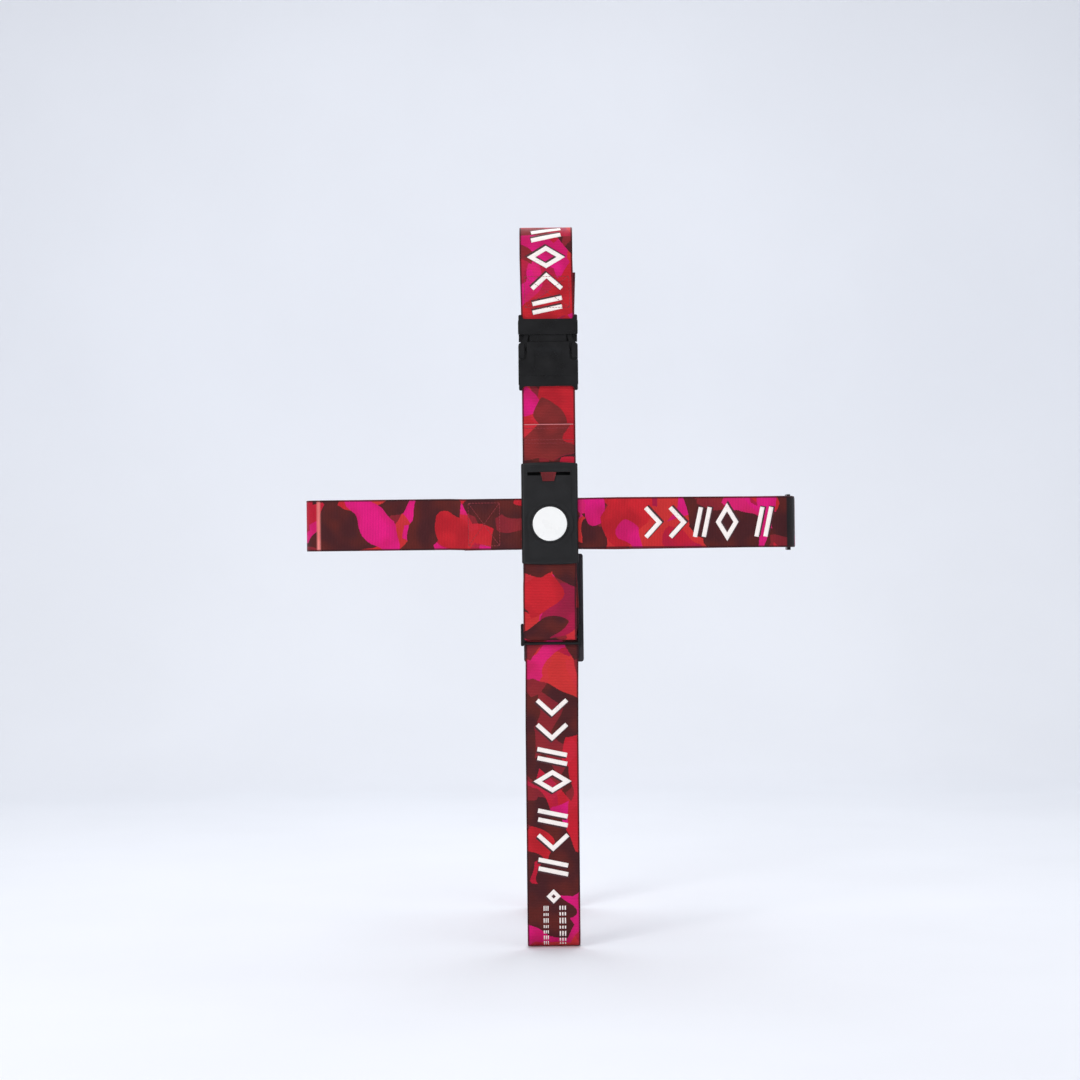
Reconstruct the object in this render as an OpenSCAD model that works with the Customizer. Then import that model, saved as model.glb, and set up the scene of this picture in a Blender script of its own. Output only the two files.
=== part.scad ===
// Adjustable cross strap for a suitcase: a vertical and a horizontal webbing belt that cross
// in a push-button coupler. Millimetres. +X right, +Y into the suitcase, +Z up.
// The origin is the centre of the coupler's button on the plane of the suitcase's front face.

/* [Suitcase that the strap goes round] */
// Width of the suitcase body
case_w = 467; // [440:1:520]
// Height of the suitcase body above the coupler's centre
case_above = 285; // [280:1:320]
// Height of the suitcase body below the coupler's centre
case_below = 406; // [380:1:450]
// Depth of the suitcase body
case_d = 290; // [240:1:330]
// Radius of the suitcase's edges
case_r = 18; // [14:1:20]

/* [Webbing] */
// Width of the vertical webbing and of the link
vertical_w = 50.8; // [49:0.1:50.9]
// Width of the horizontal webbing
horizontal_w = 49; // [46:0.1:49.2]
// Thickness of the webbing
belt_t = 1.4; // [1.2:0.1:1.4]
// Free gap between two layers, and between a layer and a bar
layer_gap = 0.2; // [0.15:0.05:0.25]

/* [Coupler] */
// Width of the coupler's housing
housing_w = 54; // [54:0.5:56]
// Height of the housing above the button's centre
housing_above = 59.1; // [59:0.1:60]
// Height of the housing below the button's centre
housing_below = 39.2; // [39:0.1:40]
// Thickness of the whole housing, without its raised panel
housing_d = 16; // [16:0.5:17]
// Radius of the round button
button_r = 18.4; // [17.5:0.1:18.4]
// Radius of the plain disc on the button
badge_r = 16.3; // [14:0.1:16.4]
// How far the button goes in
button_travel = 2; // [1.6:0.1:2]

/* [Buckle] */
// Width of the buckle
buckle_w = 57; // [56.5:0.5:58]
// Height of the socket's lower edge above the button's centre
buckle_z = 131.5; // [130:0.5:134]
// Thickness of the buckle
buckle_d = 13; // [13:0.5:14]

/* [Sliders] */
// Distance from a slider's middle bar to the bar on the coupler's side
bar_pitch = 10.4; // [10:0.1:12]
// Distance from a slider's middle bar to its outer bar
outer_pitch = 6.1; // [5.8:0.1:7]
// Radius of a slider's bars
bar_r = 1.5; // [1.2:0.1:1.6]
// Height of the vertical slider's middle bar below the button's centre
vertical_slider_z = 108.3; // [106:0.1:110]
// Depth of the horizontal slider's middle bar behind the front face
horizontal_slider_y = 130; // [110:1:150]

/* [Backing pad] */
// Thickness of the pad behind the lower slider
pad_t = 1; // [0.8:0.1:1]
// Height of the pad's lower edge below the button's centre
pad_below = 132.5; // [125:0.5:140]
// How far the pad reaches to the right
pad_right = 31.3; // [28:0.1:33]

/* [Hidden] */

half_t = belt_t / 2;
pitch = belt_t + layer_gap; // from one layer's middle to the next
clear = 0.02; // radial clearance of a pin in its hole

// Suitcase planes and the middles of its rounded edges
case_x = case_w / 2;
edge_x = case_x - case_r;
edge_near = case_r;
edge_far = case_d - case_r;
edge_top = case_above - case_r;
edge_low = case_r - case_below;
edge_bend = case_r + half_t; // webbing's middle on a suitcase edge
ease_r = 30; // radius where webbing lifts off the suitcase

// Housing: its faces in y and its walls
panel_y = -housing_d - 0.8; // face of the raised panel
front_y = -housing_d;
inner_y = -housing_d + 2; // inside of the front wall
plate_y = -2; // inside of the back plate
side_wall = 1.3;
end_wall = 1.5;
cavity_x = housing_w / 2 - side_wall;

// Pins: one radius, one depth, and where each one sits
pin_r = 2;
pin_y = -8;
pin_bend = pin_r + layer_gap + half_t;
top_pin_z = housing_above - 6.1;
bottom_pin_z = 5.2 - housing_below;
right_pin_x = housing_w / 2 - 4;
tongue_bar_x = 4.6 - housing_w / 2;

// Openings for the webbing in the housing's walls
mouth_near = pin_y + pin_bend + half_t + 0.6;
mouth_far = pin_y - pin_bend - half_t - 0.6;

// Button, and the leaf that latches the tongue
button_y = -18;
button_hollow_y = -15.5;
button_hollow_r = button_r - 2.1;
flange_r = button_r + 1.2;
flange_y = inner_y + 0.2;
flange_t = 1.2;
leaf_y = -5;
leaf_t = 0.8;
leaf_half = 7.5; // half of the leaf's width
tooth_tip_y = -6.9;
blade_y = -7;
blade_t = 1.4;
blade_tip_x = 6.7;
leg_z = 14.8;
spring_at = [9.3, 10.3];
spring_r = 2;
wire_r = 0.3;
rivet_at = [14.5, 4];

// Screws
screw_at = [[20, 33], [-20, 33], [9, -26.4], [-9, -26.4]];
screw_r = 1;
screw_head_r = 2;
boss_r = 2.4;

// Safety slide
slot_z = [46.2, 49.4];
slot_x = [-21, 20];

// Buckle: heights of its features and its faces in y
buckle_back = -0.5;
buckle_front = buckle_back - buckle_d;
hollow_front = buckle_front + 2.5;
hollow_back = buckle_back - 2.5;
buckle_bar_y = -6;
socket_bar_z = buckle_z + 6.5;
socket_floor_z = buckle_z + 11.5;
socket_gate_z = buckle_z + 19;
socket_shoulder_z = buckle_z + 23.5;
socket_mouth_z = buckle_z + 42.5;
plug_neck_z = buckle_z + 43;
plug_base_z = buckle_z + 49.5;
plug_bar_z = buckle_z + 58.5;
plug_top_z = buckle_z + 64.3;
arm_pivot = [20.5, buckle_z + 50.5];
lip_y = -10.3; // inside of the lips that cover the webbing's loops
rail_x = 26;
gate_x = 23.6;

// Backing pad: its upper end sits in a recess of the housing's back
pad_left = -26;
pad_top_z = -28.8;

// Webbing loops round the slider bars
slider_y = -6.6; // the bars stand this far in front of the suitcase
under_bar = bar_r + layer_gap + half_t;
lower_ease = 85; // from the lower slider to where its webbing lifts off the suitcase
side_ease = 60; // the same for the side slider
vertical_fold_z = 241; // end of the webbing sewn back above the plug
horizontal_fold_x = 82; // end of the webbing sewn back beside the tongue

// ---------- Webbing routes ----------
// A route is a list of stops [x, y, r]: the webbing's middle line runs straight between round
// guides and bends round each with radius |r|, to the left where r > 0. An end has r = 0.

function along(angle) = [cos(angle), sin(angle)];
function left_of(angle) = [-sin(angle), cos(angle)];
function middle(stop) = [stop[0], stop[1]];

// Direction of the straight run from stop a to stop b
function run_angle(a, b) =
    let (d = middle(b) - middle(a))
    atan2(d[1], d[0]) - asin((b[2] - a[2]) / norm(d));

// Turn from one direction to the next: 0 to 360 to the left, or 0 to -360 to the right
function turn_angle(from, to, r) =
    let (t = (to - from) % 360)
    r > 0 ? (t < 0 ? t + 360 : t) : (t > 0 ? t - 360 : t);

// Points of the route, each with the direction there: [x, y, angle]
function route_line(stops, step = 9) = [
    for (i = [0 : len(stops) - 1])
        let (
            r = stops[i][2],
            last = len(stops) - 1,
            into = i == 0 ? run_angle(stops[0], stops[1]) : run_angle(stops[i - 1], stops[i]),
            out = i == last ? into : run_angle(stops[i], stops[i + 1]),
            turn = r == 0 ? 0 : turn_angle(into, out, r),
            count = r == 0 ? 0 : max(1, ceil(abs(turn) / step))
        )
        for (k = [0 : count])
            let (
                angle = into + (count == 0 ? 0 : turn * k / count),
                p = middle(stops[i]) - r * left_of(angle)
            )
            [p[0], p[1], angle]
];

function beside(line, offset) = [for (p = line) middle(p) + offset * left_of(p[2])];
function reversed(list) = [for (i = [len(list) - 1 : -1 : 0]) list[i]];

// Webbing of one width along a route
module webbing(stops, width) {
    line = route_line(stops);
    translate([0, 0, -width / 2])
        linear_extrude(width)
            polygon(concat(beside(line, half_t), reversed(beside(line, -half_t))));
}

// Puts a drawing made in (y, z) and extruded along x into place
module from_side() {
    rotate([90, 0, 90]) children();
}

// ---------- Shared shapes ----------

module rounded_rect(w, h, r) {
    square([w - 2 * r, h], center = true);
    square([w, h - 2 * r], center = true);
    for (x = [-1, 1], y = [-1, 1])
        translate([x * (w / 2 - r), y * (h / 2 - r)]) circle(r, $fn = 48);
}

// A drawing in (x, z) made solid between the planes y = near and y = far (near < far)
module plate(near, far) {
    translate([0, far, 0]) rotate([90, 0, 0]) linear_extrude(far - near) children();
}

// A box between two corners
module box(from, to) {
    translate(from) cube(to - from);
}

module rod_x(y, z, r, half) {
    translate([-half, y, z]) rotate([0, 90, 0]) cylinder(r = r, h = 2 * half, $fn = 48);
}

module rod_y(x, z, r, near, far) {
    translate([x, near, z]) rotate([-90, 0, 0]) cylinder(r = r, h = far - near, $fn = 64);
}

module rod_z(x, y, r, half) {
    translate([x, y, -half]) cylinder(r = r, h = 2 * half, $fn = 48);
}

module both_sides() {
    children();
    mirror([1, 0, 0]) children();
}

// ---------- Coupler housing ----------

housing_mid_z = (housing_above - housing_below) / 2;
housing_h = housing_above + housing_below;

// Front view of the housing: rounded corners, and ends that bow outward a little
module housing_outline() {
    end_r = 220;
    intersection() {
        translate([0, housing_mid_z]) rounded_rect(housing_w, housing_h, 3.5);
        translate([0, housing_above - end_r]) circle(end_r, $fn = 96);
        translate([0, end_r - housing_below]) circle(end_r, $fn = 96);
    }
}

// Outer body of the front shell, with its front edges rounded
module housing_body() {
    round_r = 3;
    deep = housing_d + plate_y;
    intersection() {
        plate(front_y, plate_y) housing_outline();
        translate([0, (front_y + plate_y) / 2 + round_r, -housing_below])
            linear_extrude(housing_h) rounded_rect(housing_w, deep + 2 * round_r, round_r);
        from_side()
            translate([(front_y + plate_y) / 2 + round_r, housing_mid_z, -housing_w / 2])
                linear_extrude(housing_w) rounded_rect(deep + 2 * round_r, housing_h, round_r);
    }
}

module screw_bosses(r, near) {
    for (p = screw_at) rod_y(p[0], p[1], r, near, plate_y);
}

// Lugs that hold the ends of the upright pin beside the horizontal webbing
module pin_lugs() {
    lug_z = horizontal_w / 2 + 0.6;
    for (side = [-1, 1])
        translate([0, 0, side * (lug_z + 1.5)])
            box([right_pin_x - 3, inner_y, -1.5], [cavity_x, pin_y + 3, 1.5]);
}

module webbing_mouths() {
    v = vertical_w / 2 + 0.15;
    h = horizontal_w / 2 + 0.5;
    t = horizontal_w / 2 + 3.3;
    box([-v, mouth_far, housing_above - 8], [v, mouth_near, housing_above + 1]);
    box([-v, mouth_far, -housing_below - 1], [v, mouth_near, 8 - housing_below]);
    box([cavity_x - 1, mouth_far, -h], [housing_w / 2 + 1, mouth_near, h]);
    box([-housing_w / 2 - 1, mouth_far, -t], [1 - cavity_x, mouth_near, t]);
}

module housing_front() {
    color("#1f2023")
    difference() {
        union() {
            difference() {
                housing_body();
                box([-cavity_x, inner_y, end_wall - housing_below],
                    [cavity_x, plate_y + 1, housing_above - end_wall]);
            }
            plate(panel_y, front_y + 0.5)
                translate([0, housing_mid_z + 0.5]) rounded_rect(41, housing_h - 12, 3);
            rod_y(0, 0, button_r + 4, panel_y - 0.7, front_y + 0.5);
            screw_bosses(boss_r, inner_y - 0.5);
            pin_lugs();
        }
        rod_y(0, 0, button_r + 0.2, panel_y - 2, inner_y + 1);
        box([slot_x[0], panel_y - 1, slot_z[0]], [slot_x[1], inner_y + 1, slot_z[1]]);
        screw_bosses(screw_r + clear, -12);
        webbing_mouths();
        rod_x(pin_y, top_pin_z, pin_r + clear, housing_w);
        rod_x(pin_y, bottom_pin_z, pin_r + clear, housing_w);
        rod_z(right_pin_x, pin_y, pin_r + clear, horizontal_w / 2 + 3);
    }
}

module housing_back() {
    color("#1a1b1d")
    difference() {
        union() {
            plate(plate_y, 0) housing_outline();
            box([rivet_at[0] - 3, leaf_y + leaf_t, -leaf_half + 0.5],
                [rivet_at[0] + 3, plate_y, leaf_half - 0.5]);
            for (side = [-1, 1])
                rod_y(spring_at[0], side * spring_at[1], spring_r - wire_r - 0.2, -4, plate_y);
        }
        for (p = screw_at) {
            rod_y(p[0], p[1], screw_r + 0.1, plate_y - 1, 1);
            rod_y(p[0], p[1], screw_head_r + 0.1, -1.1, 1);
        }
        for (side = [-1, 1])
            rod_y(rivet_at[0], side * rivet_at[1], 1 + clear, leaf_y, 1);
        box([pad_left - 5, -pad_t - 0.1, -housing_below - 1], [pad_right, 1, pad_top_z + 0.1]);
    }
}

// Four flush cap screws with a cross recess, from behind
module housing_screws() {
    color("silver")
    for (p = screw_at)
        difference() {
            union() {
                rod_y(p[0], p[1], screw_head_r, -1.1, -0.1);
                rod_y(p[0], p[1], screw_r, -11, -0.6);
            }
            for (turn = [0, 90])
                translate([p[0], -0.3, p[1]]) rotate([0, turn, 0])
                    cube([2.4, 0.9, 0.5], center = true);
        }
}

module top_pin() {
    color("silver") rod_x(pin_y, top_pin_z, pin_r, housing_w / 2 - 0.3);
}

module bottom_pin() {
    color("silver") rod_x(pin_y, bottom_pin_z, pin_r, housing_w / 2 - 0.3);
}

module right_pin() {
    color("silver") rod_z(right_pin_x, pin_y, pin_r, horizontal_w / 2 + 2.8);
}

// ---------- Button and latch ----------

// Round cap with a flange that keeps it in, and two legs that reach past the tongue
module release_button() {
    color("#26272a") {
        difference() {
            union() {
                rod_y(0, 0, button_r, button_y + 0.8, flange_y + flange_t);
                rod_y(0, 0, button_r - 0.7, button_y, button_y + 0.9);
                rod_y(0, 0, flange_r, flange_y, flange_y + flange_t);
            }
            rod_y(0, 0, badge_r + 0.1, button_y - 1, button_y + 0.8);
            rod_y(0, 0, button_hollow_r, button_hollow_y, 0);
        }
        for (side = [-1, 1]) {
            translate([0, 0, side * leg_z])
                box([-3, button_hollow_y - 0.4, -1.5], [3, leaf_y - 0.1, 1.5]);
            rod_y(spring_at[0], side * spring_at[1], spring_r - wire_r - 0.2,
                  button_hollow_y - 0.4, button_hollow_y + 2);
        }
    }
}

module button_badge() {
    color("white") {
        rod_y(0, 0, badge_r, button_y - 0.1, button_y + 0.78);
        rod_y(0, 0, badge_r - 0.5, button_y - 0.35, button_y);
    }
}

// Round wire wound into a coil along y
module coil(r, wire, from, to, turns) {
    sides = 6;
    steps = 16 * turns;
    rise = (to - from - 2 * wire) / steps;
    ring = [for (k = [0 : sides - 1]) wire * along(360 * k / sides)];
    points = [
        for (i = [0 : steps]) for (p = ring)
            let (c = along(22.5 * i))
            [(r + p[0]) * c[0], from + wire + i * rise + p[1], (r + p[0]) * c[1]]
    ];
    tube = [
        for (i = [0 : steps - 1]) for (k = [0 : sides - 1])
            let (n = (k + 1) % sides, a = i * sides)
            [a + n, a + k, a + sides + k, a + sides + n]
    ];
    start = [for (k = [0 : sides - 1]) k];
    end = [for (k = [sides - 1 : -1 : 0]) steps * sides + k];
    polyhedron(points, concat(tube, [start], [end]));
}

module button_springs() {
    color("silver")
    for (side = [-1, 1])
        translate([spring_at[0], 0, side * spring_at[1]])
            coil(spring_r, wire_r, button_hollow_y + 0.05, plate_y - 0.05, 6);
}

// Spring steel leaf: a tooth in the tongue's window, and wings under the button's legs
module latch_leaf() {
    color("lightsteelblue")
    difference() {
        union() {
            box([-6, leaf_y, -leaf_half], [rivet_at[0] + 2.7, leaf_y + leaf_t, leaf_half]);
            box([-3.5, leaf_y, -leg_z - 2], [3.5, leaf_y + leaf_t, leg_z + 2]);
            plate_tooth();
        }
        for (side = [-1, 1])
            rod_y(rivet_at[0], side * rivet_at[1], 1 + clear, leaf_y - 1, 0);
    }
}

// The tooth is sloped on the side where the tongue comes in
module plate_tooth() {
    translate([0, 0, -4.5])
        linear_extrude(9)
            polygon([[-1.6, leaf_y + 0.3], [0.8, tooth_tip_y], [2.5, tooth_tip_y],
                     [2.5, leaf_y + 0.3]]);
}

module latch_rivets() {
    color("silver")
    for (side = [-1, 1]) {
        rod_y(rivet_at[0], side * rivet_at[1], 1, leaf_y - 0.1, -0.1);
        rod_y(rivet_at[0], side * rivet_at[1], 1.7, leaf_y - 0.8, leaf_y - 0.02);
    }
}

// Bar for the horizontal webbing, rails, and a blade with a window for the leaf's tooth
module belt_tongue() {
    half = horizontal_w / 2;
    bar_end = half + 2.6;
    color("#2b2c2f") {
        rod_z(tongue_bar_x, pin_y, pin_r, bar_end);
        for (side = [-1, 1])
            translate([0, 0, side * (bar_end - 1)])
                box([tongue_bar_x - 2.2, pin_y - 2, -1], [tongue_bar_x + 5, pin_y + 2, 1]);
        box([tongue_bar_x + 4.2, pin_y - 2, -bar_end], [tongue_bar_x + 8, pin_y + 2.4, bar_end]);
        difference() {
            box([tongue_bar_x + 7, blade_y, -12], [blade_tip_x, blade_y + blade_t, 12]);
            box([-2, blade_y - 1, -5], [3, blade_y + blade_t + 1, 5]);
        }
    }
}

// ---------- Safety slide ----------

module safety_slide() {
    knob = [[-6.5, 40.7], [4.5, 40.7], [6.5, 49.3], [-8.5, 49.3]];
    color("#b3202a")
    difference() {
        union() {
            plate(panel_y - 1.5, panel_y - 0.1) polygon(knob);
            box([-4, panel_y - 0.2, slot_z[0] + 0.2], [2, inner_y + 0.1, slot_z[1] - 0.2]);
        }
        for (x = [-5 : 2 : 3])
            box([x - 0.3, panel_y - 2, 42.4], [x + 0.3, panel_y - 1.1, 47.8]);
    }
}

// Inner plate that keeps the slide in its slot, with a finger that points to the button
module slide_retainer() {
    color("#d8d3c4") {
        box([-8, inner_y + 0.1, 41], [6, inner_y + 1.1, 49.2]);
        box([-8, inner_y + 0.1, flange_r + 0.6], [-5, inner_y + 1.1, 41.5]);
    }
}

// ---------- Buckle ----------

// Horns beside a webbing's rounded corners, on a straight lip whose edge is at height 0
module lip_horns() {
    horn = 4;
    intersection() {
        translate([0, horn / 2 - 1.5]) rounded_rect(buckle_w - 0.8, horn + 3, 1.4);
        both_sides()
            difference() {
                translate([vertical_w / 2 - horn, -2]) square([2 * horn, horn + 2]);
                translate([vertical_w / 2 - horn, horn]) circle(horn, $fn = 64);
            }
    }
}

// Front view of the socket: wide below, and cut in beside the arms' pads above
module socket_outline() {
    mid = (buckle_z + socket_mouth_z) / 2;
    translate([0, buckle_z]) mirror([0, 1]) lip_horns();
    difference() {
        translate([0, mid]) rounded_rect(buckle_w, socket_mouth_z - buckle_z, 3);
        for (side = [-1, 1])
            translate([side * 29, socket_shoulder_z + 13]) rounded_rect(17, 24, 4);
    }
}

module buckle_socket() {
    wall_x = buckle_w / 2 - 2.6;
    color("#1c1d1f")
    difference() {
        union() {
            plate(buckle_front, hollow_front) socket_outline();
            plate(hollow_back, buckle_back)
                translate([0, (socket_floor_z + socket_mouth_z) / 2])
                    rounded_rect(buckle_w, socket_mouth_z - socket_floor_z, 3);
            plate(buckle_front - 0.5, hollow_front)
                translate([0, socket_floor_z]) rounded_rect(buckle_w - 6, 2.4, 1);
            both_sides() {
                box([wall_x, buckle_front + 1, buckle_z + 2],
                    [buckle_w / 2, buckle_back - 1, socket_shoulder_z - 2]);
                box([gate_x, hollow_front - 1, socket_gate_z],
                    [buckle_w / 2, hollow_back + 1, socket_shoulder_z]);
                box([rail_x, lip_y - 1, buckle_z + 2], [buckle_w / 2, buckle_back - 1, socket_floor_z]);
            }
            box([-wall_x - 1, hollow_front - 1, socket_floor_z],
                [wall_x + 1, hollow_back + 1, socket_floor_z + 1.4]);
            box([-rail_x - 1, buckle_front + 1, buckle_z + 2], [rail_x + 1, lip_y, socket_floor_z]);
            rod_x(buckle_bar_y, socket_bar_z, pin_r, rail_x + 0.5);
        }
        // the rounded pad of a finger fits the middle of the front
        translate([0, buckle_front - 60, socket_shoulder_z + 4])
            rotate([0, 90, 0]) translate([0, 0, -13]) cylinder(r = 60.9, h = 26, $fn = 128);
    }
}

module buckle_plug() {
    lip_h = plug_top_z - plug_base_z;
    base_top = plug_bar_z - pin_bend - half_t - 0.3;
    arm_slot = [arm_pivot[0] - 2.9, arm_pivot[0] + 3.4];
    color("#1c1d1f")
    difference() {
        union() {
            plate(buckle_front, lip_y) {
                translate([0, plug_base_z + lip_h / 2]) rounded_rect(buckle_w, lip_h, 2.5);
                translate([0, plug_top_z]) lip_horns();
            }
            box([-buckle_w / 2 + 0.5, hollow_back, plug_neck_z],
                [buckle_w / 2 - 0.5, buckle_back, plug_base_z + 1]);
            plate(buckle_front + 1, buckle_back)
                translate([0, (plug_base_z + base_top) / 2])
                    rounded_rect(buckle_w, base_top - plug_base_z, 1.5);
            both_sides()
                box([rail_x, lip_y - 1, base_top - 2], [buckle_w / 2, buckle_bar_y + 3, plug_top_z - 2]);
            rod_x(buckle_bar_y, plug_bar_z, pin_r, rail_x + 0.5);
            box([-arm_slot[0], hollow_front - 0.5, plug_neck_z],
                [arm_slot[0], hollow_back + 0.5, plug_base_z + 1]);
            // the neck's end, loose inside the socket's mouth
            box([-arm_slot[0], hollow_front + 0.4, socket_mouth_z - 2.5],
                [arm_slot[0], hollow_back - 0.4, plug_neck_z + 1]);
            plate(hollow_front + 1.6, hollow_back - 1.6)
                translate([0, (socket_floor_z + plug_base_z) / 2 + 3])
                    rounded_rect(16, plug_base_z - socket_floor_z - 4, 3);
        }
        both_sides() {
            rod_y(arm_pivot[0], arm_pivot[1], 2.6, hollow_front + 0.5, hollow_back - 0.5);
            box([arm_slot[0], hollow_front + 0.5, plug_base_z - 1],
                [arm_slot[1], hollow_back - 0.5, arm_pivot[1]]);
        }
    }
}

// A springy arm: root in the plug's base, pad beside the socket, barb behind the gate
module plug_arm() {
    z = buckle_z;
    arm = [
        [18, arm_pivot[1]], [23, arm_pivot[1]], [23.4, z + 45.5], [28.2, z + 40], [28.2, z + 27],
        [26.5, z + 24.7], [23.2, z + 24.1], [23.2, z + 18.8], [25.5, z + 18.6], [25.3, z + 17],
        [22.2, z + 13.2], [19.8, z + 13.2], [19.4, z + 24.5], [21.8, z + 35]
    ];
    pad = [[22.9, z + 27], [28.2, z + 27], [28.2, z + 40], [25.2, z + 42], [22.9, z + 41]];
    color("#232427") {
        plate(hollow_front + 0.6, hollow_back - 0.6) polygon(arm);
        rod_y(arm_pivot[0], arm_pivot[1], 2.5, hollow_front + 0.6, hollow_back - 0.6);
        difference() {
            plate(buckle_front + 0.8, hollow_back - 0.4) polygon(pad);
            for (k = [0 : 4])
                rod_y(28.9, z + 28.6 + 2.6 * k, 0.9, buckle_front, buckle_back);
        }
    }
}

module plug_arm_right() {
    plug_arm();
}

module plug_arm_left() {
    mirror([1, 0, 0]) plug_arm();
}

// ---------- Webbing ----------

// Closed loop from the socket's bar to the coupler's top pin, its ends sewn over each other
module link_belt() {
    lap = [75, 96];
    inner_layer_y = -7.3;
    color("#7a2a2a") from_side()
    webbing([
        [inner_layer_y, lap[0], 0],
        [inner_layer_y - ease_r, lap[1] + 6, ease_r],
        [buckle_bar_y, socket_bar_z, -pin_bend],
        [pin_y, top_pin_z, -pin_bend],
        [inner_layer_y - pitch - ease_r, lap[0] - 1, ease_r],
        [inner_layer_y - pitch, lap[1], 0]
    ], vertical_w);
}

// From the plug's bar over the suitcase to the lower slider, round the bottom pin and back
module vertical_belt() {
    top_bar = -vertical_slider_z + bar_pitch;
    color("#b31b40") from_side()
    webbing([
        [-layer_gap - half_t, vertical_fold_z, 0],
        [buckle_bar_y, plug_bar_z, -pin_bend],
        [-layer_gap - half_t, vertical_fold_z, -pitch],
        [-half_t - ease_r, vertical_fold_z + 14, ease_r],
        [edge_near, edge_top, -edge_bend],
        [edge_far, edge_top, -edge_bend],
        [edge_far, edge_low, -edge_bend],
        [edge_near, edge_low, -edge_bend],
        [-half_t - ease_r, -vertical_slider_z - lower_ease, ease_r],
        [slider_y, -vertical_slider_z, under_bar + pitch],
        [slider_y, top_bar, -under_bar],
        [pin_y, bottom_pin_z, pin_bend],
        [slider_y, top_bar, under_bar + 2 * pitch],
        [slider_y, -vertical_slider_z, under_bar],
        [slider_y, top_bar, -under_bar - pitch],
        [slider_y - under_bar - 0.7, top_bar + 18, 0]
    ], vertical_w);
}

// From the tongue's bar round the suitcase, over the vertical webbing's back, to the side
// slider, round the right pin and back to the slider
module horizontal_belt() {
    bar_x = case_x - slider_y;
    near_bar = horizontal_slider_y - bar_pitch;
    ease_x = case_x + half_t + ease_r;
    near_ease = near_bar - 42;
    near_guide = [bar_x, near_bar, -under_bar - pitch];
    tail_angle = run_angle(near_guide, [ease_x, near_ease, ease_r - pitch]);
    tail_end = middle(near_guide) - near_guide[2] * left_of(tail_angle) + 16 * along(tail_angle);
    color("#a01838")
    webbing([
        [-horizontal_fold_x, -layer_gap - half_t, 0],
        [tongue_bar_x, pin_y, -pin_bend],
        [-horizontal_fold_x, -layer_gap - half_t, -pitch],
        [-horizontal_fold_x - 14, -half_t - ease_r, ease_r],
        [-edge_x, edge_near, -edge_bend],
        [-edge_x, edge_far, -edge_bend],
        [-vertical_w / 2, case_d + half_t, -pitch],
        [vertical_w / 2, case_d + half_t, -pitch],
        [edge_x, edge_far, -edge_bend],
        [ease_x, horizontal_slider_y + side_ease, ease_r],
        [bar_x, horizontal_slider_y, under_bar + pitch],
        [bar_x, near_bar, -under_bar],
        [ease_x, near_ease, ease_r],
        [edge_x, edge_near, -edge_bend],
        [65, -half_t - ease_r, ease_r],
        [right_pin_x, pin_y, pin_bend],
        [65, -half_t - ease_r, pitch - ease_r],
        [edge_x, edge_near, edge_bend + pitch],
        [ease_x, near_ease, 2 * pitch - ease_r],
        [bar_x, near_bar, under_bar + 2 * pitch],
        [bar_x, horizontal_slider_y, under_bar],
        near_guide,
        [tail_end[0], tail_end[1], 0]
    ], horizontal_w);
}

// ---------- Sliders ----------

// Frame with three bars, drawn in the xz plane with the middle bar on the x axis and the
// coupler above. Two layers pass its upper slot and one passes its lower slot.
module slider_frame(width) {
    rail = 3;
    over = 2.5;
    half = width / 2 + 0.5 + rail;
    length = bar_pitch + outer_pitch + 2 * over;
    for (z = [-outer_pitch, 0, bar_pitch]) rod_x(0, z, bar_r, half - 1);
    both_sides()
        plate(-bar_r - 0.2, bar_r + 0.2)
            translate([half - rail / 2, (bar_pitch - outer_pitch) / 2])
                rounded_rect(rail, length, 1.4);
}

module vertical_slider() {
    color("#1c1d1f")
    translate([0, slider_y, -vertical_slider_z]) slider_frame(vertical_w);
}

// Thin pad between the lower slider and the suitcase, with a stitched groove round its edge
module backing_pad() {
    h = pad_below + pad_top_z;
    w = pad_right - pad_left;
    color("#18181a")
    difference() {
        plate(-pad_t, 0) pad_outline(w, h, 2);
        plate(-pad_t - 1, 0.2 - pad_t)
            difference() {
                pad_outline(w - 2.6, h - 2.6, 1.2);
                pad_outline(w - 3.8, h - 3.8, 0.8);
            }
    }
}

module pad_outline(w, h, r) {
    translate([(pad_left + pad_right) / 2, (pad_top_z - pad_below) / 2]) rounded_rect(w, h, r);
}

module horizontal_slider() {
    color("#1c1d1f")
    translate([case_x - slider_y, horizontal_slider_y, 0])
        rotate([0, 90, -90]) slider_frame(horizontal_w);
}

housing_front();
housing_back();
housing_screws();
top_pin();
bottom_pin();
right_pin();
release_button();
button_badge();
button_springs();
latch_leaf();
latch_rivets();
belt_tongue();
safety_slide();
slide_retainer();
buckle_socket();
buckle_plug();
plug_arm_left();
plug_arm_right();
link_belt();
vertical_belt();
vertical_slider();
backing_pad();
horizontal_belt();
horizontal_slider();
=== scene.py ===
"""Looks of a cross strap for a suitcase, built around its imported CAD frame.

Lengths are in millimetres until a mesh is made. Each belt is a ribbon that follows a route of
round guides, and (s, across, lift) is a place on it: along the belt, across it, and off its middle.
"""

import math
import random

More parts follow.
